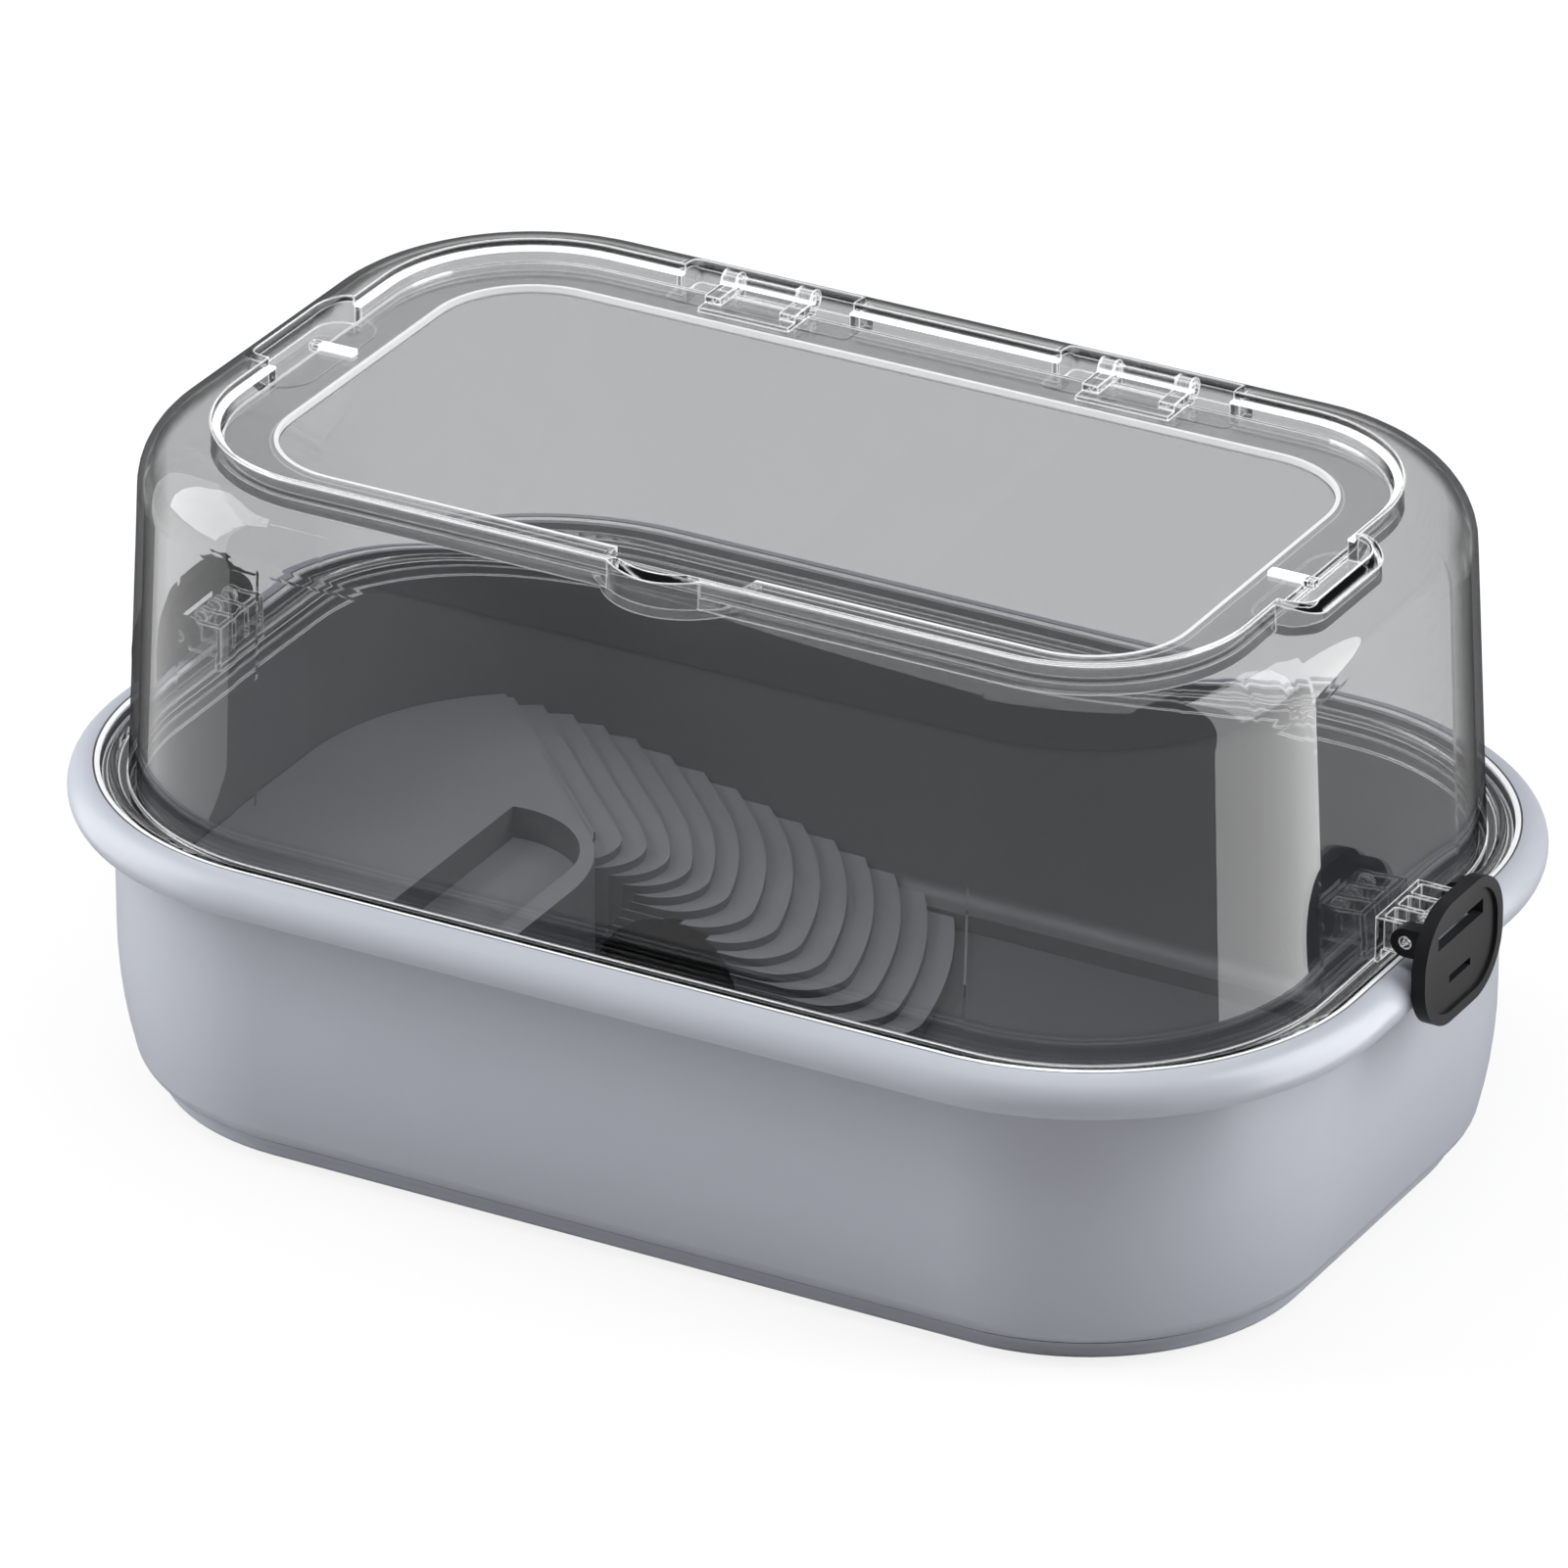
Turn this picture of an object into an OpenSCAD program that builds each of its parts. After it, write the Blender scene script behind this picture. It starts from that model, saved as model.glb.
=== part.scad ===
// Turtle tank: drafted tub, clear dome cover, hinged clear lid, two end latches and a basking platform.
// Every wall is one profile (distance out from a core rectangle, height) swept round that rectangle.
// Units are millimetres, +Z is up, the tank stands on z = 0, the hatch hinges run along X at the back.

/* [Overall] */
// length of the tub over its rim, along X
tank_len = 400; // [370:1:440]
// width of the tub over its rim, along Y
tank_wid = 260; // [245:1:300]
// plan radius of the rim at the four corners
corner_r = 89.4; // [85:0.2:100]
// height of the crest of the tub rim
rim_z = 96.5; // [88:0.5:110]
// height of the crest of the dome
crest_z = 201; // [192:0.5:215]

/* [Tub] */
// wall thickness of the tub
wall_t = 2.2; // [1.8:0.1:3]
// how far the rim stands out from the wall below it
rim_over = 12.9; // [12:0.1:16]
// height where the wall starts to curve in towards the bottom
belly_z = 47; // [40:0.5:55]
// radius of that long curve, seen in a cross-section
belly_r = 145; // [130:1:170]
// radius of the rounded bottom edge
bottom_r = 8; // [6:0.2:10]
// height of the foot lip
foot_h = 5.6; // [4:0.1:6.5]
// how far the foot lip stands out from the centre of the bottom round
foot_out = 2.4; // [1.5:0.1:3]
// thickness of the foot lip
lip_t = 1.2; // [0.8:0.1:1.6]
// how far the foot lies inside its lip
foot_in = 1.3; // [0.8:0.1:1.8]
// radius of the lower edge of the foot
foot_round = 1.6; // [0.8:0.1:1.8]
// thickness of the floor
floor_t = 2.4; // [2:0.1:4]
// radius of the rolled rim
roll_r = 7; // [5.5:0.1:8]
// height of the open lower edge of the rolled rim, below the roll centre
roll_drop = 4; // [2:0.1:5]
// depth of the groove that takes the cover flange
groove_h = 5.5; // [4:0.1:7]
// width of the groove floor
groove_w = 5.7; // [4.5:0.1:7]

/* [Cover] */
// wall thickness of the clear cover
dome_t = 2.2; // [1.8:0.1:3]
// air between the cover flange and the groove
seat_gap = 0.3; // [0.2:0.05:0.6]
// how far the foot of the dome wall lies inside the rim edge
dome_in = 17; // [16:0.1:20]
// how much the dome wall leans in up to the shoulder
dome_draft = 4.4; // [2:0.1:8]
// radius of the dome shoulder
shoulder_r = 20.5; // [16:0.5:24]
// radius of the bead on the flange
bead_r = 1.5; // [1:0.1:2]
// depth of the centring skirt below the flange
skirt_h = 4.5; // [3:0.1:8]
// drop from the dome crest to the first step of the top frame
step_h = 2.4; // [1.5:0.1:3]
// width of the first step of the top frame
step_w = 2.2; // [1.5:0.1:3]
// height of the ledge below the dome crest
ledge_drop = 7.5; // [6:0.1:9]
// width of the ledge that carries the lid
ledge_w = 15.9; // [12:0.1:20]
// depth of the stiffening lip round the opening
lip_h = 2.6; // [2.3:0.1:5]

/* [Pockets in the cover] */
// distance of each hinge from the middle
hinge_x = 60; // [50:1:80]
// width of each hinge pocket
hinge_pocket_w = 54; // [48:1:60]
// depth of a hinge pocket behind the lid recess
hinge_pocket_d = 9.8; // [9:0.1:11]
// depth of the pockets below the top of the ledge
pocket_sink = 1; // [0.5:0.1:1.5]
// width of the finger pocket in each end
end_pocket_w = 46; // [36:1:60]
// depth of the finger pocket in each end
end_pocket_d = 10.5; // [8:0.5:14]
// radius of the half-moon finger scoop at the front
scoop_r = 21.6; // [16:0.2:24]
// how far the scoop reaches beyond the lid recess
scoop_d = 5; // [3:0.5:7]
// how far the scoop lies right of the middle
scoop_x = 2; // [0:0.5:4]
// depth of the scoop below the top of the ledge
scoop_sink = 3; // [1:0.1:4]

/* [Lid] */
// thickness of the lid
lid_t = 1.6; // [1.4:0.1:1.8]
// air round the lid in its recess
lid_gap = 0.7; // [0.4:0.1:1.2]
// height of the hinge pin below the dome crest
pin_drop = 2.4; // [2:0.1:3]
// distance of the hinge pin behind the lid recess
pin_back = 3; // [2.8:0.1:4]
// radius of the hinge pin
pin_r = 1.9; // [1.5:0.1:2.1]
// radial clearance of the pins in their bores
bore_gap = 0.05; // [0.02:0.01:0.1]
// outer radius of the lid knuckles
knuckle_r = 3.3; // [3:0.1:3.5]
// width of each lid knuckle
knuckle_w = 5; // [4:0.1:6]
// width over both knuckles of one hinge
hinge_w = 29; // [26:1:34]
// length of the hinge leaf on the lid
leaf_d = 13; // [9:0.5:16]
// length of the snap rib at each end of the lid
rib_len = 14; // [10:0.5:16]
// width of the snap rib
rib_w = 3; // [2:0.1:4]

/* [Latches] */
// width of a latch plate
latch_w = 47.2; // [44:0.2:50]
// height of a latch plate
latch_h = 36.4; // [35:0.2:38]
// thickness of a latch plate
latch_t = 4.2; // [3.6:0.1:5]
// corner radius of a latch plate
latch_r = 16.5; // [12:0.5:17.5]
// air between the rim edge and the inner face of a latch plate
latch_air = 0.4; // [0.3:0.1:1]
// height of the latch plate top above the rim crest
latch_up = 17.7; // [16:0.1:19]
// height of the latch pin above the rim crest
latch_pin_up = 7.8; // [7.6:0.1:8.4]
// distance of the latch pin inside the latch plate
latch_pin_in = 4.9; // [4.8:0.1:5.4]
// radius of the latch pin
latch_pin_r = 2; // [1.6:0.1:2.2]
// radius of the latch ears round the pin
ear_r = 4.3; // [3.8:0.1:4.5]
// width of each latch ear
ear_w = 5; // [4:0.1:6]
// width of the raised border of a latch plate
border_w = 3.2; // [2:0.1:4]
// depth of the recessed face of a latch plate
face_sink = 1.2; // [0.6:0.1:2]
// width of the upper slot
slot_w = 27; // [20:0.5:28]
// height of the upper slot
slot_h = 4.3; // [3:0.1:5]
// distance of the upper slot below the plate top
slot_down = 10.6; // [10:0.1:12]
// width of the lower slot
small_slot_w = 12.8; // [8:0.2:16]
// height of the lower slot
small_slot_h = 2.3; // [2:0.1:3.5]
// distance of the lower slot below the plate top
small_slot_down = 24.3; // [22:0.1:25]
// width of the hook under the rim
hook_w = 20; // [14:0.5:26]
// thickness of the hook
hook_t = 2.4; // [2:0.1:2.6]
// air between the hook and the rim edge above it
hook_gap = 0.8; // [0.7:0.1:1.2]
// how far the hook reaches in under the rolled rim
hook_in = 6; // [4:0.1:6.5]

/* [Lugs for the latches] */
// width of a lug over its outer ribs
lug_w = 25.7; // [22:0.1:27]
// thickness of the lug ribs
lug_t = 2; // [1.6:0.1:2.4]
// distance of the back of a lug from the dome wall
lug_back = 0.9; // [0.5:0.1:2]

/* [Basking platform] */
// height of the plateau above the ground
plateau_z = 44.4; // [40:0.2:50]
// number of steps of the ramp
steps = 15; // [10:1:16]
// height of the ramp foot above the ground
ramp_z0 = 4; // [3:0.2:8]
// wall thickness of the platform
plat_t = 2.2; // [1.8:0.1:3]
// air between the platform and the tub
plat_gap = 0.5; // [0.3:0.1:1]
// how far the lowest step reaches further right than its ring
slip_x = 5.8; // [0:0.2:10]
// how far the lowest step reaches further forward than its ring
slip_y = 10.4; // [0:0.2:14]
// distance of the ramp front wall behind the middle
ramp_y = 36; // [30:0.5:50]
// corner radius of the steps at the front wall
hook_r = 14; // [8:0.5:18]
// growth of the step radius from one step to the next one down
tread = 7.7; // [6:0.1:9]
// how far the right edge of the plateau lies left of the middle
plateau_x = 75; // [70:0.5:85]
// radius of the rounded back corner of the plateau
plateau_r = 48; // [40:0.5:60]
// width of the feeding dish
dish_w = 34; // [24:0.5:40]
// length of the feeding dish in front of its back round
dish_l = 60; // [30:1:90]
// depth of the feeding dish
dish_d = 10; // [5:0.5:14]
// radius of the round at the back of the feeding dish
dish_r = 29; // [20:0.5:32]
// how far the centre of that round lies behind the middle
dish_y = 10; // [0:0.5:14]
// distance of the dish from the right edge of the plateau
dish_edge = 7; // [5:0.5:12]
// radius of the hide entrance arch
arch_r = 25; // [18:0.5:27]
// height of the arch centre above the ground
arch_z = 0; // [-2:0.5:4]
// distance of the arch centre left of the middle
arch_x = 60; // [52:0.5:68]

/* [Hidden] */
$fn = 72;
tub_col = [0.62, 0.64, 0.68];
clear_col = [0.72, 0.73, 0.75, 0.5];
black_col = [0.06, 0.06, 0.065];
plat_col = [0.42, 0.43, 0.45];
core_x = tank_len / 2 - corner_r;
core_y = tank_wid / 2 - corner_r;
wall_r = corner_r - rim_over;
round_z = foot_h + bottom_r;
belly_lean = asin((belly_z - round_z) / (belly_r - bottom_r));
round_c = wall_r - belly_r + (belly_r - bottom_r) * cos(belly_lean);
foot_lip_r = round_c + foot_out;
foot_r = foot_lip_r - foot_in;
roll_c = corner_r - roll_r;
roll_z = rim_z - roll_r;
roll_edge_z = roll_z - roll_drop;
groove_z = rim_z - groove_h;
groove_in = roll_c - wall_t - groove_w;
groove_out = roll_c - wall_t;
flange_z = groove_z + seat_gap;
flange_top = flange_z + dome_t;
flange_r = groove_out - 2 * seat_gap;
dome_r = corner_r - dome_in;
shoulder_z = crest_z - shoulder_r;
shoulder_top_r = dome_r - dome_draft;
shoulder_c = shoulder_top_r - shoulder_r;
recess_r = shoulder_c - step_w - 0.6;
ledge_z = crest_z - ledge_drop;
open_r = recess_r - ledge_w;
lid_r = recess_r - lid_gap;
lid_z = ledge_z + 0.2;
lid_top = lid_z + lid_t;
pocket_z = ledge_z - pocket_sink;
pin_z = crest_z - pin_drop;
pin_y = core_y + recess_r + pin_back;
rear_y = core_y + recess_r + hinge_pocket_d;
end_x = core_x + recess_r + end_pocket_d;
scoop_y = -(core_y + recess_r + scoop_d - scoop_r);
scoop_z = ledge_z - scoop_sink;
plate_x = tank_len / 2 + latch_air;
latch_top = rim_z + latch_up;
latch_z = latch_top - latch_h / 2;
latch_pin_x = plate_x - latch_pin_in;
latch_pin_z = rim_z + latch_pin_up;
ear_y = lug_w / 2 + 0.4;
slot_z = latch_top - slot_down;
small_slot_z = latch_top - small_slot_down;
hook_top = roll_edge_z - hook_gap;
lug_x = core_x + dome_r + lug_back;
lug_top = latch_pin_z + 2.6;
rise = (plateau_z - ramp_z0) / (steps + 0.5);
dish_x = -(plateau_x + dish_edge + dish_w / 2);

// Plan outline of the core rectangle grown by r, corners round.
module plan(r) {
  square([2 * (core_x + r), 2 * core_y], center = true);
  square([2 * core_x, 2 * (core_y + r)], center = true);
  for (sx = [-1, 1]) {
    for (sy = [-1, 1]) {
      translate([sx * core_x, sy * core_y])
        circle(r = r);
    }
  }
}

// Sweeps a profile (x = distance out from the core, y = height) once round the core rectangle.
module swept() {
  for (turn = [0, 180]) {
    rotate([0, 0, turn]) {
      translate([core_x, core_y, 0])
        rotate_extrude(angle = 90)
          children();
      translate([-core_x, core_y, 0])
        rotate([0, 0, 90])
          rotate_extrude(angle = 90)
            children();
      translate([-core_x, core_y, 0])
        rotate([90, 0, 90])
          linear_extrude(height = 2 * core_x)
            children();
      translate([core_x, core_y, 0])
        rotate([90, 0, 0])
          linear_extrude(height = 2 * core_y)
            children();
    }
  }
}

// Area inside the tub wall, brought in by d.
module bowl_area(d) {
  belly_end = belly_z - (belly_r - d) * sin(belly_lean);
  translate([round_c, round_z])
    circle(r = bottom_r - d);
  translate([0, foot_h + d])
    square([round_c, bottom_r]);
  intersection() {
    translate([wall_r - belly_r, belly_z])
      circle(r = belly_r - d, $fn = 180);
    translate([0, belly_end])
      square([wall_r, belly_z - belly_end]);
  }
  translate([0, belly_z])
    square([wall_r - d, roll_z + 1 - belly_z]);
}

module tub_profile() {
  difference() {
    union() {
      bowl_area(0);
      translate([0, foot_h - lip_t])
        square([foot_lip_r, lip_t]);
      translate([0, foot_round])
        square([foot_r, foot_h - foot_round]);
      square([foot_r - foot_round, foot_h]);
      translate([foot_r - foot_round, foot_round])
        circle(r = foot_round);
    }
    bowl_area(wall_t);
    translate([-1, floor_t])
      square([foot_r - wall_t + 1, foot_h + 2]);
    translate([-1, -1])
      square([round_c - 9, rim_z]);
  }
  difference() {
    union() {
      translate([roll_c, roll_z])
        circle(r = roll_r);
      translate([groove_out, groove_z - wall_t])
        square([wall_t, groove_h]);
    }
    difference() {
      translate([roll_c, roll_z])
        circle(r = roll_r - wall_t);
      translate([groove_out - 3, groove_z - wall_t - 1])
        square([wall_t + 3, groove_h + 3]);
    }
    translate([groove_in - 5, groove_z])
      square([groove_w + 5, groove_h + 2]);
    translate([groove_in - 5, roll_z - roll_r - 1])
      square([30, roll_r + 1 - roll_drop]);
    translate([groove_in - 5, roll_edge_z - 3])
      square([groove_w + wall_t + 5, groove_z - wall_t - roll_edge_z + 3]);
  }
  translate([wall_r - wall_t, groove_z - wall_t])
    square([groove_out - wall_r + 2 * wall_t, wall_t]);
}

module tub() {
  color(tub_col) {
    swept()
      tub_profile();
    linear_extrude(height = floor_t)
      plan(round_c - 8);
  }
}

// Area under the dome, brought in by d.
module dome_area(d) {
  polygon([
    [0, flange_top - dome_t - d],
    [dome_r - d, flange_top - dome_t - d],
    [shoulder_top_r - d, shoulder_z],
    [0, shoulder_z]
  ]);
  translate([shoulder_c, shoulder_z])
    circle(r = shoulder_r - d);
  translate([0, shoulder_z - 1])
    square([shoulder_c, shoulder_r + 1 - d]);
}

module cover_profile() {
  difference() {
    dome_area(0);
    difference() {
      dome_area(dome_t);
      translate([0, ledge_z - dome_t])
        square([recess_r + dome_t + 0.3, ledge_drop + dome_t]);
    }
    translate([0, ledge_z])
      square([recess_r, ledge_drop + 1]);
    translate([0, crest_z - step_h])
      square([recess_r + step_w, step_h + 1]);
    translate([-1, flange_z - 1])
      square([open_r + 1, crest_z]);
  }
  translate([open_r, ledge_z - lip_h])
    square([dome_t, lip_h]);
  translate([dome_r - dome_t, flange_z])
    square([flange_r - dome_r + dome_t, dome_t]);
  translate([flange_r - bead_r - 1.6, flange_top])
    circle(r = bead_r);
  translate([dome_r - dome_t, flange_z - skirt_h])
    square([dome_t, skirt_h + dome_t]);
}

module pocket_box(x0, x1, y0, y1, r, z0, z1) {
  translate([0, 0, z0])
    linear_extrude(height = z1 - z0) {
      translate([x0 + r, y0])
        square([x1 - x0 - 2 * r, y1 - y0]);
      translate([x0, y0 + r])
        square([x1 - x0, y1 - y0 - 2 * r]);
      for (x = [x0 + r, x1 - r]) {
        for (y = [y0 + r, y1 - r]) {
          translate([x, y])
            circle(r = r);
        }
      }
    }
}

// The dome as one solid block, just under its outer face.
module dome_block() {
  swept()
    dome_area(0.5);
  translate([-core_x, -core_y, flange_z])
    cube([2 * core_x, 2 * core_y, crest_z - 0.5 - flange_z]);
}

// The pin of one hinge and the saddle that carries it.
module hinge_bar() {
  translate([-hinge_w / 2 - 0.5, pin_y, pin_z])
    rotate([0, 90, 0])
      cylinder(h = hinge_w + 1, r = pin_r);
  translate([-hinge_w / 2 + knuckle_w + 0.8, pin_y, pin_z])
    rotate([0, 90, 0])
      cylinder(h = hinge_w - 2 * knuckle_w - 1.6, r = pin_r + 0.5);
  translate([-hinge_w / 2 + knuckle_w + 0.8, pin_y - pin_r - 0.5, pocket_z - 1])
    cube([hinge_w - 2 * knuckle_w - 1.6, 2 * pin_r + 1, pin_z - pocket_z + 1]);
}

// The solid round the pockets (d = wall) or the pockets themselves (d = 0).
module pockets(d, z0, z1) {
  for (sx = [-1, 1]) {
    pocket_box(
      sx * hinge_x - hinge_pocket_w / 2 - d, sx * hinge_x + hinge_pocket_w / 2 + d,
      pin_y - pin_back - 6, rear_y + d, 2, z0, z1
    );
  }
  for (turn = [0, 180]) {
    rotate([0, 0, turn])
      pocket_box(
        end_x - end_pocket_d - 8, end_x + d, -end_pocket_w / 2 - d, end_pocket_w / 2 + d,
        8 + d, z0, z1
      );
  }
}

// The solid round the finger scoop (d = wall) or the scoop itself (d = 0).
module scoop(d, z0, z1) {
  translate([scoop_x, scoop_y, z0])
    cylinder(h = z1 - z0, r = scoop_r + d);
}

module lug() {
  for (y = [-lug_w / 2, -lug_w / 6 - lug_t / 3, lug_w / 6 - 2 * lug_t / 3, lug_w / 2 - lug_t]) {
    translate([lug_x, y, rim_z + 1])
      cube([latch_pin_x - lug_x, lug_t, lug_top - rim_z - 1]);
    translate([latch_pin_x, y + lug_t, latch_pin_z])
      rotate([90, 0, 0])
        cylinder(h = lug_t, r = 3);
  }
  translate([lug_x, -lug_w / 2, flange_top - 1])
    cube([lug_t, lug_w, lug_top - flange_top + 1]);
  translate([latch_pin_x, lug_w / 2 + ear_w, latch_pin_z])
    rotate([90, 0, 0])
      cylinder(h = lug_w + 2 * ear_w, r = latch_pin_r);
}

module cover() {
  color(clear_col)
    difference() {
      union() {
        swept()
          cover_profile();
        difference() {
          intersection() {
            union() {
              pockets(dome_t, pocket_z - dome_t, crest_z + 1);
              scoop(dome_t, scoop_z - dome_t, crest_z + 1);
            }
            dome_block();
          }
          linear_extrude(height = crest_z)
            plan(open_r + 1);
        }
        for (turn = [0, 180]) {
          rotate([0, 0, turn])
            lug();
        }
        for (sx = [-1, 1]) {
          translate([sx * hinge_x, 0, 0])
            hinge_bar();
        }
      }
      translate([0, 0, ledge_z])
        linear_extrude(height = ledge_drop + 5)
          plan(recess_r);
      translate([0, 0, crest_z - step_h])
        linear_extrude(height = step_h + 5)
          plan(recess_r + step_w);
      scoop(0, scoop_z, crest_z + 2);
      difference() {
        pockets(0, pocket_z, crest_z + 2);
        linear_extrude(height = crest_z + 5)
          plan(recess_r);
        for (sx = [-1, 1]) {
          translate([sx * hinge_x, 0, 0])
            hinge_bar();
        }
      }
    }
}

module lid() {
  color(clear_col)
    difference() {
      union() {
        translate([0, 0, lid_z])
          linear_extrude(height = lid_t)
            plan(lid_r);
        for (sx = [-1, 1]) {
          translate([sx * hinge_x - hinge_w / 2, pin_y - leaf_d - pin_back, lid_top - 1])
            cube([hinge_w, leaf_d, 2.2]);
          for (x = [-hinge_w / 2, hinge_w / 2 - knuckle_w]) {
            translate([sx * hinge_x + x, pin_y, pin_z])
              rotate([0, 90, 0])
                cylinder(h = knuckle_w, r = knuckle_r);
            translate([sx * hinge_x + x, pin_y - leaf_d - pin_back + 4, lid_top - 1])
              cube([knuckle_w, leaf_d + pin_back - 4, pin_z - lid_top + 1]);
          }
        }
        for (turn = [0, 180]) {
          rotate([0, 0, turn])
            translate([core_x + lid_r + 3 - rib_len, -rib_w / 2, lid_top - 1])
              cube([rib_len, rib_w, 2.4]);
        }
      }
      for (sx = [-1, 1]) {
        translate([sx * hinge_x - hinge_w / 2 - 1, pin_y, pin_z])
          rotate([0, 90, 0])
            cylinder(h = hinge_w + 2, r = pin_r + bore_gap);
      }
    }
}

// Plate outline drawn in (Y, Z), standing on x0.
module latch_plate(x0, t, inset) {
  translate([x0, 0, latch_z])
    rotate([90, 0, 90])
      linear_extrude(height = t) {
        square([latch_w - 2 * latch_r, latch_h - 2 * inset], center = true);
        square([latch_w - 2 * inset, latch_h - 2 * latch_r], center = true);
        for (sy = [-1, 1]) {
          for (sz = [-1, 1]) {
            translate([sy * (latch_w / 2 - latch_r), sz * (latch_h / 2 - latch_r)])
              circle(r = latch_r - inset);
          }
        }
      }
}

module latch() {
  difference() {
    union() {
      latch_plate(plate_x, latch_t, 0);
      for (y = [-ear_y - ear_w, ear_y]) {
        translate([latch_pin_x, y + ear_w, latch_pin_z])
          rotate([90, 0, 0])
            cylinder(h = ear_w, r = ear_r);
        translate([latch_pin_x, y, latch_pin_z - ear_r])
          cube([latch_pin_in + 1, ear_w, 2 * ear_r]);
      }
      translate([plate_x - latch_air - hook_in, -hook_w / 2, hook_top - hook_t])
        cube([latch_air + hook_in + 1, hook_w, hook_t]);
    }
    latch_plate(plate_x + latch_t - face_sink, face_sink + 1, border_w);
    translate([plate_x - 1, -slot_w / 2, slot_z - slot_h / 2])
      cube([latch_t + 2, slot_w, slot_h]);
    translate([plate_x - 1, -small_slot_w / 2, small_slot_z - small_slot_h / 2])
      cube([latch_t + 2, small_slot_w, small_slot_h]);
    translate([latch_pin_x, ear_y + ear_w + 1, latch_pin_z])
      rotate([90, 0, 0])
        cylinder(h = 2 * (ear_y + ear_w + 1), r = latch_pin_r + bore_gap);
  }
}

module latch_right() {
  color(black_col)
    latch();
}

module latch_left() {
  color(black_col)
    rotate([0, 0, 180])
      latch();
}

// Centre and radius of the round of step k, counted from the foot of the ramp.
function up(k) = max(0, (k - steps * 0.62) / (steps * 0.4));
function slip(k) = 1 - k / (steps + 0.5);
function ring_x(k) = -plateau_x - plateau_r - 42 * (1 - up(k)) + slip_x * slip(k);
function ring_y(k) = 1 + 19 * (1 - up(k)) - slip_y * slip(k);
function ring_r(k) = plateau_r + 66 * (1 - up(k)) + tread * max(0, steps * 0.62 - k);
function front_y(k) = ramp_y - 22 * pow(up(k), 2) - slip_y * slip(k);

// Plan of one step, brought in by d.
module step_plan(k, d) {
  cx = ring_x(k);
  cy = ring_y(k);
  r = ring_r(k) - d;
  yf = front_y(k) + d;
  h = hook_r - d;
  fx = cx + sqrt(pow(r - h, 2) - pow(yf + h - cy, 2));
  yt = cy + (yf + h - cy) * r / (r - h);
  px = cx + r * sqrt(0.5);
  py = cy + r * sqrt(0.5);
  intersection() {
    translate([cx, cy])
      circle(r = r, $fn = 120);
    translate([cx, yt])
      square([r + 10, r + 10]);
  }
  translate([fx, yf + h])
    circle(r = h, $fn = 48);
  translate([cx - 150, yf])
    square([fx - cx + 150, yt - yf + 0.01]);
  polygon([
    [px, py],
    [px - 150, py + 150],
    [px - 300, py + 150],
    [px - 300, yf],
    [cx, yf]
  ]);
}

module plateau_plan(d) {
  cx = -plateau_x - plateau_r;
  r = plateau_r - d;
  q = r * sqrt(0.5);
  translate([cx, 1])
    circle(r = r, $fn = 96);
  translate([cx - 150, -200])
    square([150 + r, 201]);
  polygon([
    [cx + q, 1 + q],
    [cx + q - 150, 151 + q],
    [cx + q - 300, 151 + q],
    [cx + q - 300, 0],
    [cx, 0]
  ]);
}

module terraces(d) {
  translate([0, 0, -1])
    linear_extrude(height = plateau_z - d + 1)
      plateau_plan(d);
  for (k = [1:steps]) {
    translate([0, 0, -1])
      linear_extrude(height = ramp_z0 + rise * k - d + 1)
        step_plan(k, d);
  }
}

// Room inside the tub for the platform, brought in by d.
module bay(d) {
  intersection() {
    union() {
      swept()
        intersection() {
          union() {
            bowl_area(wall_t + d);
            translate([0, floor_t + d])
              square([foot_r - wall_t - d, foot_h + 2]);
          }
          square([corner_r, rim_z]);
        }
      translate([-core_x, -core_y, floor_t + d])
        cube([2 * core_x, 2 * core_y, rim_z - floor_t - d]);
    }
    translate([-tank_len / 2, -tank_wid / 2, 0])
      cube([tank_len / 2 + 30, tank_wid, plateau_z + 5]);
  }
}

module dish(d, z0) {
  translate([dish_x - dish_w / 2, dish_y, z0])
    linear_extrude(height = plateau_z + 1 - z0) {
      translate([-d, -dish_l - d])
        square([dish_w + 2 * d, dish_l + d]);
      intersection() {
        translate([dish_w - dish_r, 0])
          circle(r = dish_r + d, $fn = 96);
        translate([-d, 0])
          square([dish_w + 2 * d, dish_r + d]);
      }
    }
}

module basking_platform() {
  color(plat_col)
    difference() {
      intersection() {
        terraces(0);
        bay(plat_gap);
      }
      difference() {
        intersection() {
          terraces(plat_t);
          union() {
            bay(plat_gap + plat_t);
            translate([-core_x - foot_r + 6, -core_y - foot_r + 6, 0])
              cube([core_x + foot_r + 30, 2 * (core_y + foot_r - 6), 12]);
          }
        }
        dish(plat_t, plateau_z - dish_d - plat_t);
      }
      dish(0, plateau_z - dish_d);
      translate([-arch_x, front_y(1) + hook_r + 6, arch_z])
        rotate([90, 0, 0])
          cylinder(h = 44, r = arch_r);
    }
}

tub();
cover();
lid();
latch_left();
latch_right();
basking_platform();
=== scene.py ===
# %% [markdown]
# # Turtle tank
# The tank is a pale blue-grey tub with a rolled rim, a smoke-tinted clear dome that sits in the
# rim's groove, a clear hatch in the dome, a black latch at each end and a grey basking platform
# inside. The frame brings every moulded piece at its real size, so this lesson is about the looks:
# camera, light, and one material for each plastic.

# %% Load the frame
import math

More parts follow.
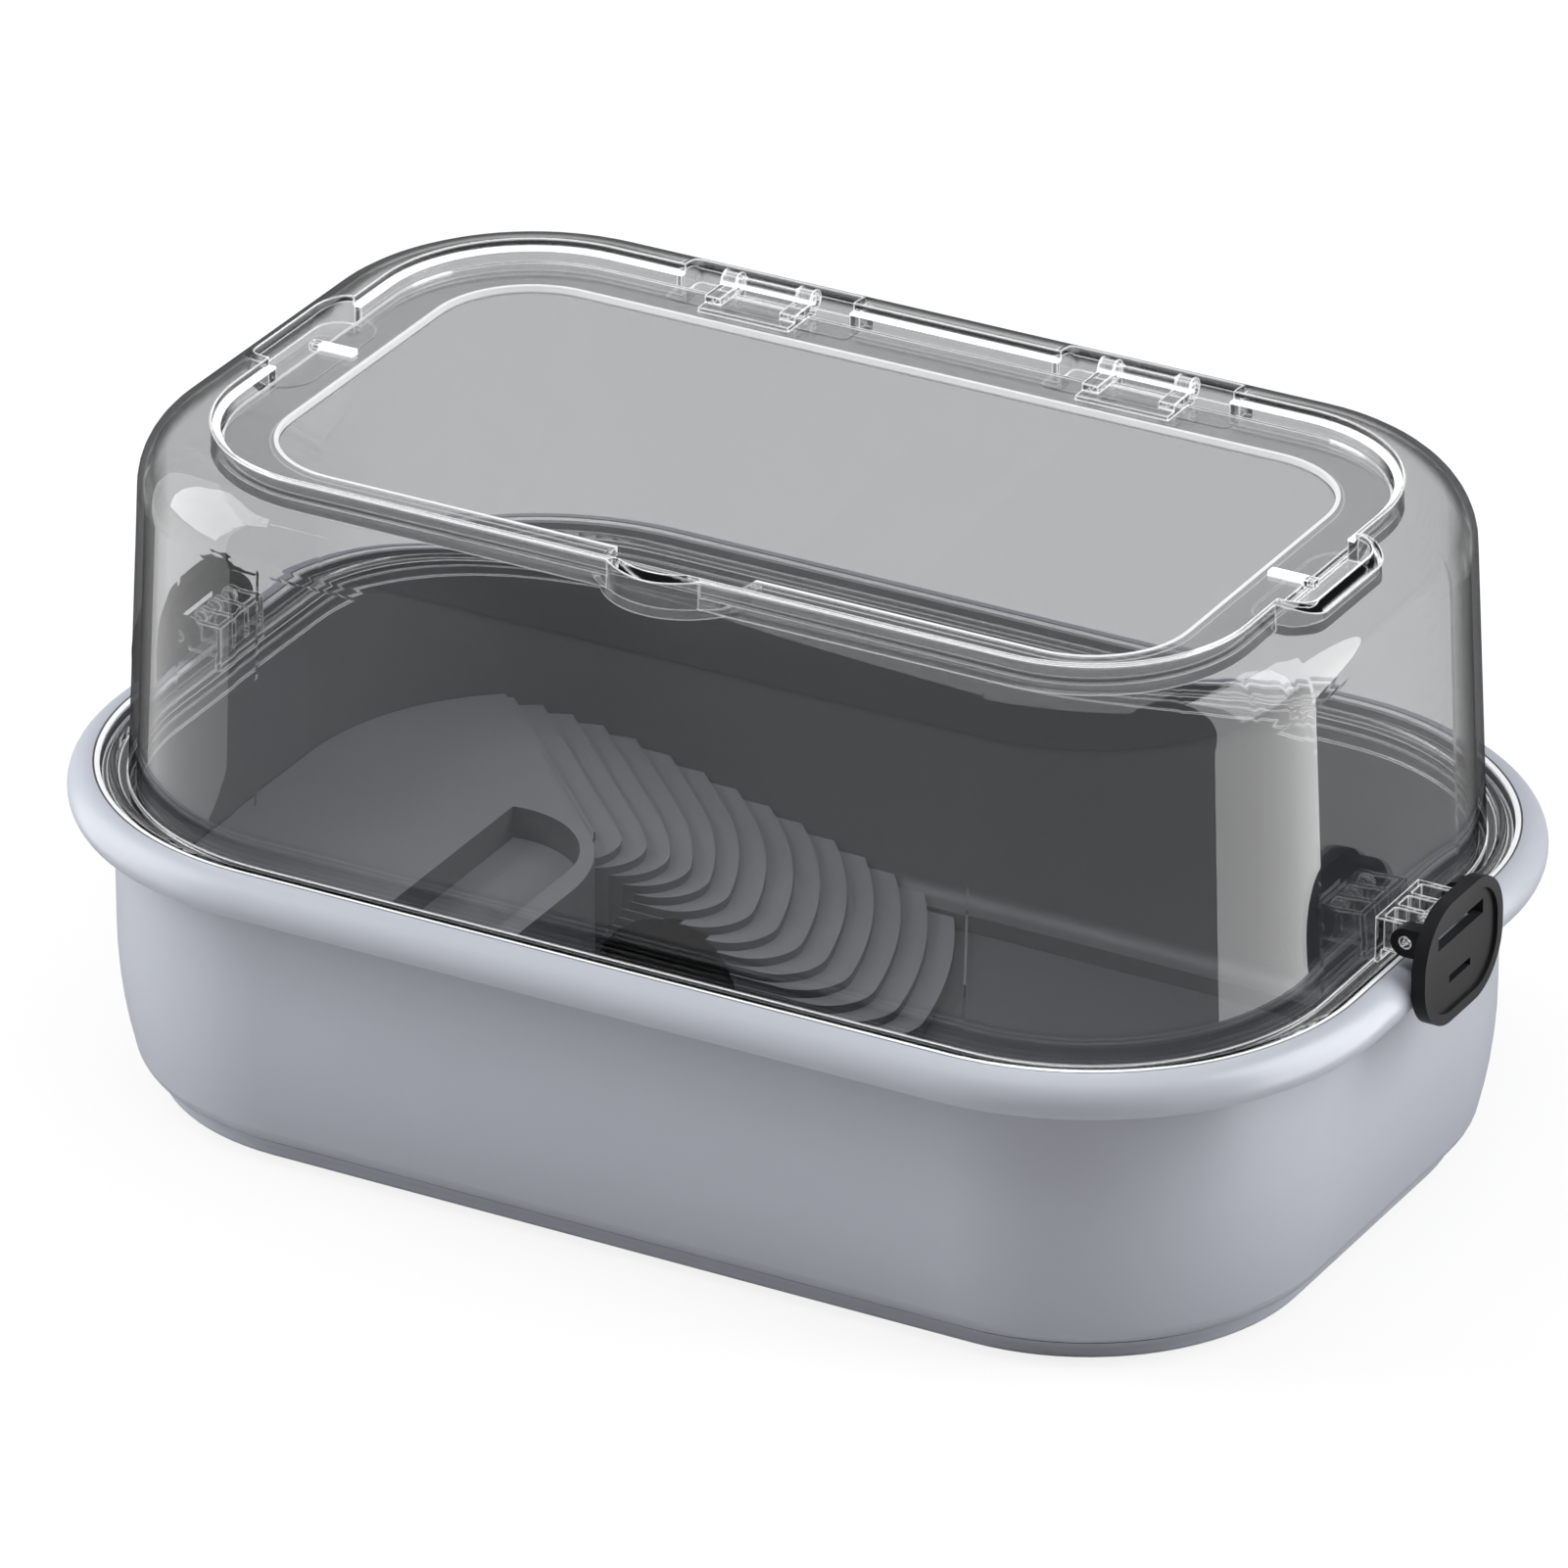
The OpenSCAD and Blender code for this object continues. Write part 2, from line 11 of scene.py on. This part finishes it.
import bpy
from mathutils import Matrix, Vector

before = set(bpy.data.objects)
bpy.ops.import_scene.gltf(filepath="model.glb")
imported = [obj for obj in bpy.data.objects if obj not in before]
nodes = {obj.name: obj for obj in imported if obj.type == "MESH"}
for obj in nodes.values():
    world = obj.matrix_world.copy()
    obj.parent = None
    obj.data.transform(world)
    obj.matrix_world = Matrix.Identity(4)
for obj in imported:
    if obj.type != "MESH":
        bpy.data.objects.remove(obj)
scene = bpy.context.scene
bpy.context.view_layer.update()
print("nodes:", sorted(nodes))

# %% [markdown]
# ## Camera
# The photograph was taken from far away with a long lens, a little above the tank and to the
# right of its front. A camera on a sphere round the tank is the simplest way to hold such a view:
# turn and rise give its direction, and one distance gives its place. The focal length is known in
# pixels of the photograph, and the sensor's width turns it into millimetres.

# %% Camera
CAMERA_TURN = 29.1
CAMERA_RISE = 26.7
CAMERA_DISTANCE = 3.8074
CAMERA_TARGET = Vector((-0.0050, -0.0028, 0.0966))
FOCAL_LENGTH_PX = 13999.5
PHOTO_WIDTH_PX = 1601.0
SENSOR_WIDTH_MM = 36.0
FARTHEST_SEEN = 50.0


def direction(turn_degrees, rise_degrees):
    turn, rise = math.radians(turn_degrees), math.radians(rise_degrees)
    return Vector((
        math.sin(turn) * math.cos(rise),
        -math.cos(turn) * math.cos(rise),
        math.sin(rise),
    ))


towards_camera = direction(CAMERA_TURN, CAMERA_RISE)
camera_data = bpy.data.cameras.new("camera")
camera_data.sensor_width = SENSOR_WIDTH_MM
camera_data.lens = FOCAL_LENGTH_PX * SENSOR_WIDTH_MM / PHOTO_WIDTH_PX
camera_data.clip_end = FARTHEST_SEEN
camera = bpy.data.objects.new("camera", camera_data)
scene.collection.objects.link(camera)
camera.location = CAMERA_TARGET + towards_camera * CAMERA_DISTANCE
camera.rotation_euler = towards_camera.to_track_quat("Z", "Y").to_euler()
scene.camera = camera
scene.view_settings.view_transform = "Standard"
print("lens", round(camera_data.lens, 1), "mm, camera at", [round(v, 3) for v in camera.location])

# %% [markdown]
# ## Writing materials as expressions
# A node tree is easier to read when its maths looks like maths. One small class wraps a socket
# and overloads the operators, so an expression on wires adds its Math nodes.


# %% A wire and its maths
class Wire:
    def __init__(self, tree, socket):
        self.tree = tree
        self.socket = socket

    def math(self, operation, first, second):
        node = self.tree.nodes.new("ShaderNodeMath")
        node.operation = operation
        for socket, value in zip(node.inputs, (first, second)):
            connect(self.tree, socket, value)
        return Wire(self.tree, node.outputs[0])

    def __add__(self, other):
        return self.math("ADD", self, other)

    def __radd__(self, other):
        return self.math("ADD", other, self)

    def __sub__(self, other):
        return self.math("SUBTRACT", self, other)

    def __rsub__(self, other):
        return self.math("SUBTRACT", other, self)

    def __mul__(self, other):
        return self.math("MULTIPLY", self, other)

    def __rmul__(self, other):
        return self.math("MULTIPLY", other, self)

    def over(self, other):
        return self.math("GREATER_THAN", self, other)

    def under(self, other):
        return self.math("LESS_THAN", self, other)

    def root(self):
        return self.math("SQRT", self, 0.0)

    def size(self):
        return self.math("ABSOLUTE", self, 0.0)

    def at_most(self, other):
        return self.math("MINIMUM", self, other)

    def at_least(self, other):
        return self.math("MAXIMUM", self, other)


def connect(tree, socket, value):
    if isinstance(value, Wire):
        tree.links.new(value.socket, socket)
    else:
        socket.default_value = value


print("a wire knows", [name for name in vars(Wire) if not name.startswith("__")])

# %% [markdown]
# ## One method for all other nodes
# Every other node comes from one method that takes its type, its settings and its inputs. A
# maker adds nodes to any tree, so the sky can use it too, and a finish is a maker for one
# material. It reads Object coordinates, so a pattern stays on its piece when the piece moves.

# %% Makers and finishes
FACTOR, COLOR_A, COLOR_B, COLOR_RESULT = 0, 6, 7, 2
BEVEL_SAMPLES = 2


class Maker:
    def __init__(self, tree):
        self.tree = tree

    def node(self, kind, settings=None, inputs=None, output=0):
        node = self.tree.nodes.new(kind)
        for name, value in (settings or {}).items():
            setattr(node, name, value)
        for name, value in (inputs or {}).items():
            connect(self.tree, node.inputs[name], value)
        return Wire(self.tree, node.outputs[output])

    def ray(self, kind):
        return self.node("ShaderNodeLightPath", output="Is " + kind + " Ray")

    def either(self, factor, first, second):
        return self.node("ShaderNodeMixShader", inputs={0: factor, 1: first, 2: second})


class Finish(Maker):
    def __init__(self, name):
        self.material = bpy.data.materials.new(name)
        self.material.use_nodes = True
        super().__init__(self.material.node_tree)
        self.tree.nodes.clear()
        self.output = self.tree.nodes.new("ShaderNodeOutputMaterial")

    def place(self):
        return self.node("ShaderNodeTexCoord", output="Object")

    def part(self, vector, axis):
        return self.node("ShaderNodeSeparateXYZ", inputs={"Vector": vector}, output=axis)

    def normal(self):
        return self.node("ShaderNodeNewGeometry", output="True Normal")

    def evenness(self, reach):
        smooth = self.node("ShaderNodeNewGeometry", output="Normal")
        rounded = self.node("ShaderNodeBevel", {"samples": BEVEL_SAMPLES}, {"Radius": reach})
        settings = {"operation": "DOT_PRODUCT"}
        same = self.node("ShaderNodeVectorMath", settings, {0: smooth, 1: rounded}, "Value")
        return same.size()

    def noise(self, scale, detail=2.0, rough=0.5):
        inputs = {"Vector": self.place(), "Scale": scale, "Detail": detail, "Roughness": rough}
        return self.node("ShaderNodeTexNoise", inputs=inputs)

    def mix(self, factor, first, second):
        inputs = {FACTOR: factor, COLOR_A: first, COLOR_B: second}
        return self.node("ShaderNodeMix", {"data_type": "RGBA"}, inputs, COLOR_RESULT)

    def bump(self, height, strength, distance):
        inputs = {"Height": height, "Strength": strength, "Distance": distance}
        return self.node("ShaderNodeBump", inputs=inputs)

    def clear(self, color):
        return self.node("ShaderNodeBsdfTransparent", inputs={"Color": color})

    def plastic(self, inputs):
        return self.node("ShaderNodeBsdfPrincipled", inputs=inputs)

    def surface(self, wire):
        self.tree.links.new(wire.socket, self.output.inputs["Surface"])
        print(self.material.name, "has", len(self.tree.nodes), "nodes")
        return self.material


print("a finish adds", [name for name in vars(Finish) if not name.startswith("__")])

# %% [markdown]
# ## Measuring on the surface
# The tank's walls follow rounded rectangles inside one another. So one number tells where a point
# lies in plan: its distance out from a small core rectangle. The rim's length, width and corner
# give that core, and a band in this distance and in height picks out one edge, such as the crest
# of the rim.

# %% Bands round the tank
CORE_X = 0.1106
CORE_Y = 0.0406
RIM_Z = 0.0965
CREST_Z = 0.2010
TURNED_IN = -0.002
LEVEL_ENOUGH = 0.5


def beyond_core(finish):
    place = finish.place()
    x = finish.part(place, "X")
    y = finish.part(place, "Y")
    return x - x.at_most(CORE_X).at_least(-CORE_X), y - y.at_most(CORE_Y).at_least(-CORE_Y)


def outwards(finish):
    beyond_x, beyond_y = beyond_core(finish)
    return (beyond_x * beyond_x + beyond_y * beyond_y).root()


def faces_inwards(finish):
    beyond_x, beyond_y = beyond_core(finish)
    normal = finish.normal()
    along = finish.part(normal, "X") * beyond_x + finish.part(normal, "Y") * beyond_y
    return along.under(TURNED_IN)


def faces_up(finish):
    return finish.part(finish.normal(), "Z").over(LEVEL_ENOUGH)


def between(wire, low, high):
    return wire.over(low) * wire.under(high)


print("core", 2 * CORE_X, "by", 2 * CORE_Y, "m, crest of the rim at", RIM_Z, "m")

# %% [markdown]
# ## The tub's plastic
# The tub is injection moulded in a satin plastic. On the real one the colour is even, with a very
# faint cloudiness and the finest grain. The sharp inner edge of the rim gets a painted highlight,
# a white line in the colour. The inside reads much darker than the outside, and shade alone would
# not make it so dark under soft lights. So faces that look inwards, the floor and the groove for
# the cover get painted shade, a darker grey.

# %% Tub plastic
TUB_GREY = (0.408, 0.426, 0.476, 1), (0.424, 0.442, 0.492, 1)
# painted shade: a darker grey for the tub's inside, its floor and the groove
TUB_INSIDE_PAINTED_SHADE = (0.098, 0.101, 0.109, 1)
# painted highlight: the white line on the rim's inner edge
RIM_PAINTED_HIGHLIGHT = (0.93, 0.93, 0.94, 1)
RIM_HIGHLIGHT_OUT = 0.0800, 0.0816
RIM_HIGHLIGHT_DEPTH = 0.0012
FLOOR_TOP_UP = 0.001, 0.012
GROOVE_OUT = 0.0720, 0.0803
GROOVE_UP = 0.0880, 0.0940


def tub_plastic():
    finish = Finish("tub_plastic")
    cloud = finish.noise(scale=9.0, detail=3.0)
    grain = finish.noise(scale=1400.0)
    out = outwards(finish)
    up = finish.part(finish.place(), "Z")
    # painted highlight along the rim's sharp inner edge
    painted_rim_highlight = between(out, *RIM_HIGHLIGHT_OUT) * up.over(RIM_Z - RIM_HIGHLIGHT_DEPTH)
    floor_top = faces_up(finish) * between(up, *FLOOR_TOP_UP)
    groove = between(out, *GROOVE_OUT) * between(up, *GROOVE_UP)
    # painted shade on faces that look inwards, on the floor and in the groove
    painted_inside_shade = (faces_inwards(finish) + floor_top + groove).at_most(1.0)
    body = finish.mix(painted_inside_shade, finish.mix(cloud, *TUB_GREY), TUB_INSIDE_PAINTED_SHADE)
    return finish.surface(finish.plastic({
        "Base Color": finish.mix(painted_rim_highlight, body, RIM_PAINTED_HIGHLIGHT),
        "Roughness": 0.27 + 0.06 * cloud,
        "Normal": finish.bump(grain, strength=0.05, distance=0.0001),
        "IOR": 1.5,
    }))


tub_finish = tub_plastic()

# %% [markdown]
# ## Painted highlights on the edges of the clear plastic
# Light that runs inside a clear wall comes out at its sharp edges, so the real cover shows fine
# white lines there; here they are painted highlights. A Bevel node finds them: where the rounded
# normal departs from the plain one, there is an edge. On the top frame the test is keener and the
# small step between its two edges counts too, which makes one bold line. Bands pick out the edge
# of the opening under the hatch and the two snap ribs at the hatch's ends.

# %% White edges
EDGE_REACH = 0.0009
SHARP = 0.88
KEENLY_SHARP = 0.975
FRAME_DEPTH = 0.0030
FRAME_OUT = 0.0640
FRAME_STEP_OUT = 0.0445, 0.0468
FRAME_STEP_TOP = 0.0018
OPENING_UP = 0.1919, 0.1936
OPENING_OUT = 0.0300
SNAP_RIB_UP = 0.1954
SNAP_RIB_OUT = 0.0440
SNAP_RIB_ACROSS = 0.1200
EDGE_HIGHLIGHT_STRENGTH = 0.88


# painted highlight: a mask for the white lines on the clear plastic's edges
def painted_edge_highlights(finish, up):
    out = outwards(finish)
    across = finish.part(finish.place(), "X").size()
    evenness = finish.evenness(EDGE_REACH)
    frame_low = CREST_Z - FRAME_DEPTH
    frame_edge = evenness.under(KEENLY_SHARP) * up.over(frame_low) * out.under(FRAME_OUT)
    frame_step = between(out, *FRAME_STEP_OUT) * between(up, frame_low, CREST_Z - FRAME_STEP_TOP)
    opening = between(up, *OPENING_UP) * out.under(OPENING_OUT)
    snap_rib = up.over(SNAP_RIB_UP) * out.under(SNAP_RIB_OUT) * across.over(SNAP_RIB_ACROSS)
    edges = evenness.under(SHARP) + frame_edge + frame_step + opening + snap_rib
    return edges.at_most(1.0) * EDGE_HIGHLIGHT_STRENGTH


print("white edges reach", EDGE_REACH * 1000, "mm")

# %% [markdown]
# ## The smoky clear plastic
# The dome and the hatch are one polished clear plastic with a grey tint. Light should still reach
# the inside, so rays that only carry shadow or soft light go straight through with the same tint,
# which is quicker and cleaner than bending them. Where a wall is seen edge on, more of the tint
# lies in the way and it looks darker: Layer Weight tells how far a face is turned away. The skirt
# in the groove keeps almost no tint, or it would draw a black line round the rim. The white edges
# are painted highlights, a white plastic that glows a little though it is no lamp.

# %% Smoky clear plastic
SMOKE_TINT = (0.697, 0.700, 0.705, 1)
SKIRT_TINT = (0.90, 0.90, 0.905, 1)
THROUGH_WALL_TINT = (0.24, 0.243, 0.25, 1)
STRAIGHT_TINT = (0.83, 0.833, 0.84, 1)
SKIRT_STRAIGHT_TINT = (0.97, 0.97, 0.97, 1)
# painted highlight: the white of the edge lines, which also glow
PAINTED_EDGE_WHITE = (0.97, 0.97, 0.98, 1)
SKIRT_TOP = 0.0905
TURNED_AWAY = 0.60
DARKENING = 5.5
DARKEST = 0.88


def smoky_clear():
    finish = Finish("smoky_clear")
    up = finish.part(finish.place(), "Z")
    facing = finish.node("ShaderNodeLayerWeight", inputs={"Blend": 0.5}, output="Facing")
    edge_on = ((facing - TURNED_AWAY) * DARKENING).at_least(0.0).at_most(DARKEST)
    skirt = up.under(SKIRT_TOP)
    face_on = finish.plastic({
        "Base Color": finish.mix(skirt, SMOKE_TINT, SKIRT_TINT),
        "Roughness": 0.0,
        "Transmission Weight": 1.0,
        "IOR": 1.46,
    })
    # painted highlight on the edges, glowing a little though it is no lamp
    painted_edge_glow = finish.plastic({
        "Base Color": PAINTED_EDGE_WHITE,
        "Roughness": 0.25,
        "Emission Color": (1, 1, 1, 1),
        "Emission Strength": 0.70,
    })
    wall = finish.either(edge_on, face_on, finish.clear(THROUGH_WALL_TINT))
    seen = finish.either(painted_edge_highlights(finish, up), wall, painted_edge_glow)
    straight = finish.either(
        skirt, finish.clear(STRAIGHT_TINT), finish.clear(SKIRT_STRAIGHT_TINT)
    )
    goes_straight = finish.ray("Shadow").at_least(finish.ray("Diffuse"))
    return finish.surface(finish.either(goes_straight, seen, straight))


clear_finish = smoky_clear()

# %% [markdown]
# ## Black latches
# The latches are black plastic with a fine satin grain. They shine little, so the specular level
# is low, and a soft cloud varies both the black and its roughness.

# %% Latch plastic
LATCH_BLACK = (0.010, 0.010, 0.011, 1), (0.016, 0.016, 0.017, 1)


def black_plastic():
    finish = Finish("black_plastic")
    grain = finish.noise(scale=1600.0, detail=3.0)
    cloud = finish.noise(scale=70.0)
    return finish.surface(finish.plastic({
        "Base Color": finish.mix(cloud, *LATCH_BLACK),
        "Roughness": 0.36 + 0.1 * cloud,
        "Specular IOR Level": 0.10,
        "Normal": finish.bump(grain, strength=0.12, distance=0.0001),
    }))


latch_finish = black_plastic()

# %% [markdown]
# ## Grey platform
# The platform is a matt grey moulding with a rough skin on its treads that gives feet a hold. Its
# steep faces get painted shade: the height of the normal picks between the grey and a darker grey.

# %% Platform plastic
TREAD_GREY = (0.178, 0.184, 0.197, 1), (0.200, 0.206, 0.220, 1)
# painted shade: the darker grey on steep faces
STEEP_PAINTED_SHADE = (0.078, 0.081, 0.088, 1)


def platform_plastic():
    finish = Finish("platform_plastic")
    cloud = finish.noise(scale=40.0, detail=4.0)
    grain = finish.noise(scale=1200.0, detail=3.0, rough=0.6)
    tread = finish.mix(cloud, *TREAD_GREY)
    return finish.surface(finish.plastic({
        # painted shade on steep faces, the tread grey on faces that look up
        "Base Color": finish.mix(faces_up(finish), STEEP_PAINTED_SHADE, tread),
        "Roughness": 0.5 + 0.12 * cloud,
        "Normal": finish.bump(grain, strength=0.2, distance=0.00015),
    }))


platform_finish = platform_plastic()

# %% [markdown]
# ## Dressing the pieces
# Each moulded piece is right as it is, so it only changes its material. The dome and the hatch
# share one, and so do the two latches.

# %% Give each piece its material
finishes = {
    "tub": tub_finish,
    "cover": clear_finish,
    "lid": clear_finish,
    "latch_left": latch_finish,
    "latch_right": latch_finish,
    "basking_platform": platform_finish,
}
for name, material in finishes.items():
    piece_materials = nodes[name].data.materials
    piece_materials.clear()
    piece_materials.append(material)
print("dressed:", {name: material.name for name, material in finishes.items()})

# %% [markdown]
# ## Floor
# The photograph has a plain white ground. The floor is pale and gets a little light of its own
# that the camera and clear plastic see, so it stays white while the shadow of the tank remains.
# In reflections it is dimmer, because a bright floor would lay a veil over the dark inside.

# %% Floor
FLOOR_SIZE = 16.0
FLOOR_BELOW = 0.0005
WHITE = (1, 1, 1, 1)
GLOW_SHARE = 0.75


def pale_floor():
    finish = Finish("pale_floor")
    matt = finish.node(
        "ShaderNodeBsdfDiffuse", inputs={"Color": (0.66, 0.66, 0.66, 1), "Roughness": 0.9}
    )
    glow = finish.node("ShaderNodeEmission", inputs={"Color": WHITE, "Strength": 1.1})
    dim = finish.node("ShaderNodeEmission", inputs={"Color": WHITE, "Strength": 0.2})
    through = finish.ray("Transmission")
    seen = finish.ray("Camera").at_least(through)
    only_mirrored = (finish.ray("Glossy") - through).at_least(0.0)
    lit = finish.either(GLOW_SHARE * seen, matt, glow)
    return finish.surface(finish.either(GLOW_SHARE * only_mirrored, lit, dim))


bpy.ops.mesh.primitive_plane_add(size=FLOOR_SIZE, location=(0, 0, -FLOOR_BELOW))
floor = bpy.context.object
floor.name = "floor"
floor.data.materials.append(pale_floor())

# %% [markdown]
# ## Sky
# The world works as the floor does: white for the camera and through clear plastic, and a weak
# even light for everything else.

# %% Sky
SKY_LIGHT = 0.13

world = bpy.data.worlds.new("studio")
scene.world = world
world.use_nodes = True
sky = Maker(world.node_tree)
first_background = sky.tree.nodes["Background"]
first_background.inputs["Color"].default_value = WHITE
first_background.inputs["Strength"].default_value = SKY_LIGHT
weak_light = Wire(sky.tree, first_background.outputs[0])
white_ground = sky.node("ShaderNodeBackground", inputs={"Color": WHITE, "Strength": 1.0})
sky_seen = sky.ray("Camera").at_least(sky.ray("Transmission"))
sky_choice = sky.either(sky_seen, weak_light, white_ground)
world_output = sky.tree.nodes["World Output"]
sky.tree.links.new(sky_choice.socket, world_output.inputs["Surface"])
print("sky has", len(sky.tree.nodes), "nodes")

# %% [markdown]
# ## Studio lights
# Two large soft lights stand at the sides and a weaker one hangs above. They stay out of
# reflections, where they would draw white squares on the dome. Instead two panels beside the tank
# only show as gleams: they draw the upright light columns on the dome's round corners.

# %% Lights
AIM_HEIGHT = 0.1
PANEL_HEIGHT = 0.40


def soft_light(name, turn, rise, distance, size, power):
    data = bpy.data.lights.new(name, "AREA")
    data.shape = "RECTANGLE"
    data.size, data.size_y = size
    data.energy = power
    lamp = bpy.data.objects.new(name, data)
    scene.collection.objects.link(lamp)
    towards_lamp = direction(turn, rise)
    lamp.location = Vector((0, 0, AIM_HEIGHT)) + towards_lamp * distance
    lamp.rotation_euler = towards_lamp.to_track_quat("Z", "Y").to_euler()
    return lamp


def side_panel(name, x, y_from, y_to, power):
    lamp = soft_light(name, math.copysign(90, x), 0, 1.0, (y_to - y_from, PANEL_HEIGHT), power)
    lamp.location = (x, (y_from + y_to) / 2, PANEL_HEIGHT / 2)
    lamp.visible_camera = False
    lamp.visible_diffuse = False
    lamp.visible_transmission = False


for lamp in (
    soft_light("left_light", turn=-68, rise=26, distance=1.6, size=(1.0, 1.4), power=31),
    soft_light("right_light", turn=112, rise=28, distance=1.6, size=(1.0, 1.4), power=26),
    soft_light("top_light", turn=10, rise=76, distance=1.7, size=(1.6, 1.0), power=17),
):
    lamp.visible_glossy = False
side_panel("right_panel", x=0.33, y_from=-0.091, y_to=0.196, power=1.5)
side_panel("left_panel", x=-0.33, y_from=-0.320, y_to=-0.055, power=0.50)

# %% [markdown] ## Finish No piece was added, so the visual model's box has to be the frame's
# box.

# %% Finish
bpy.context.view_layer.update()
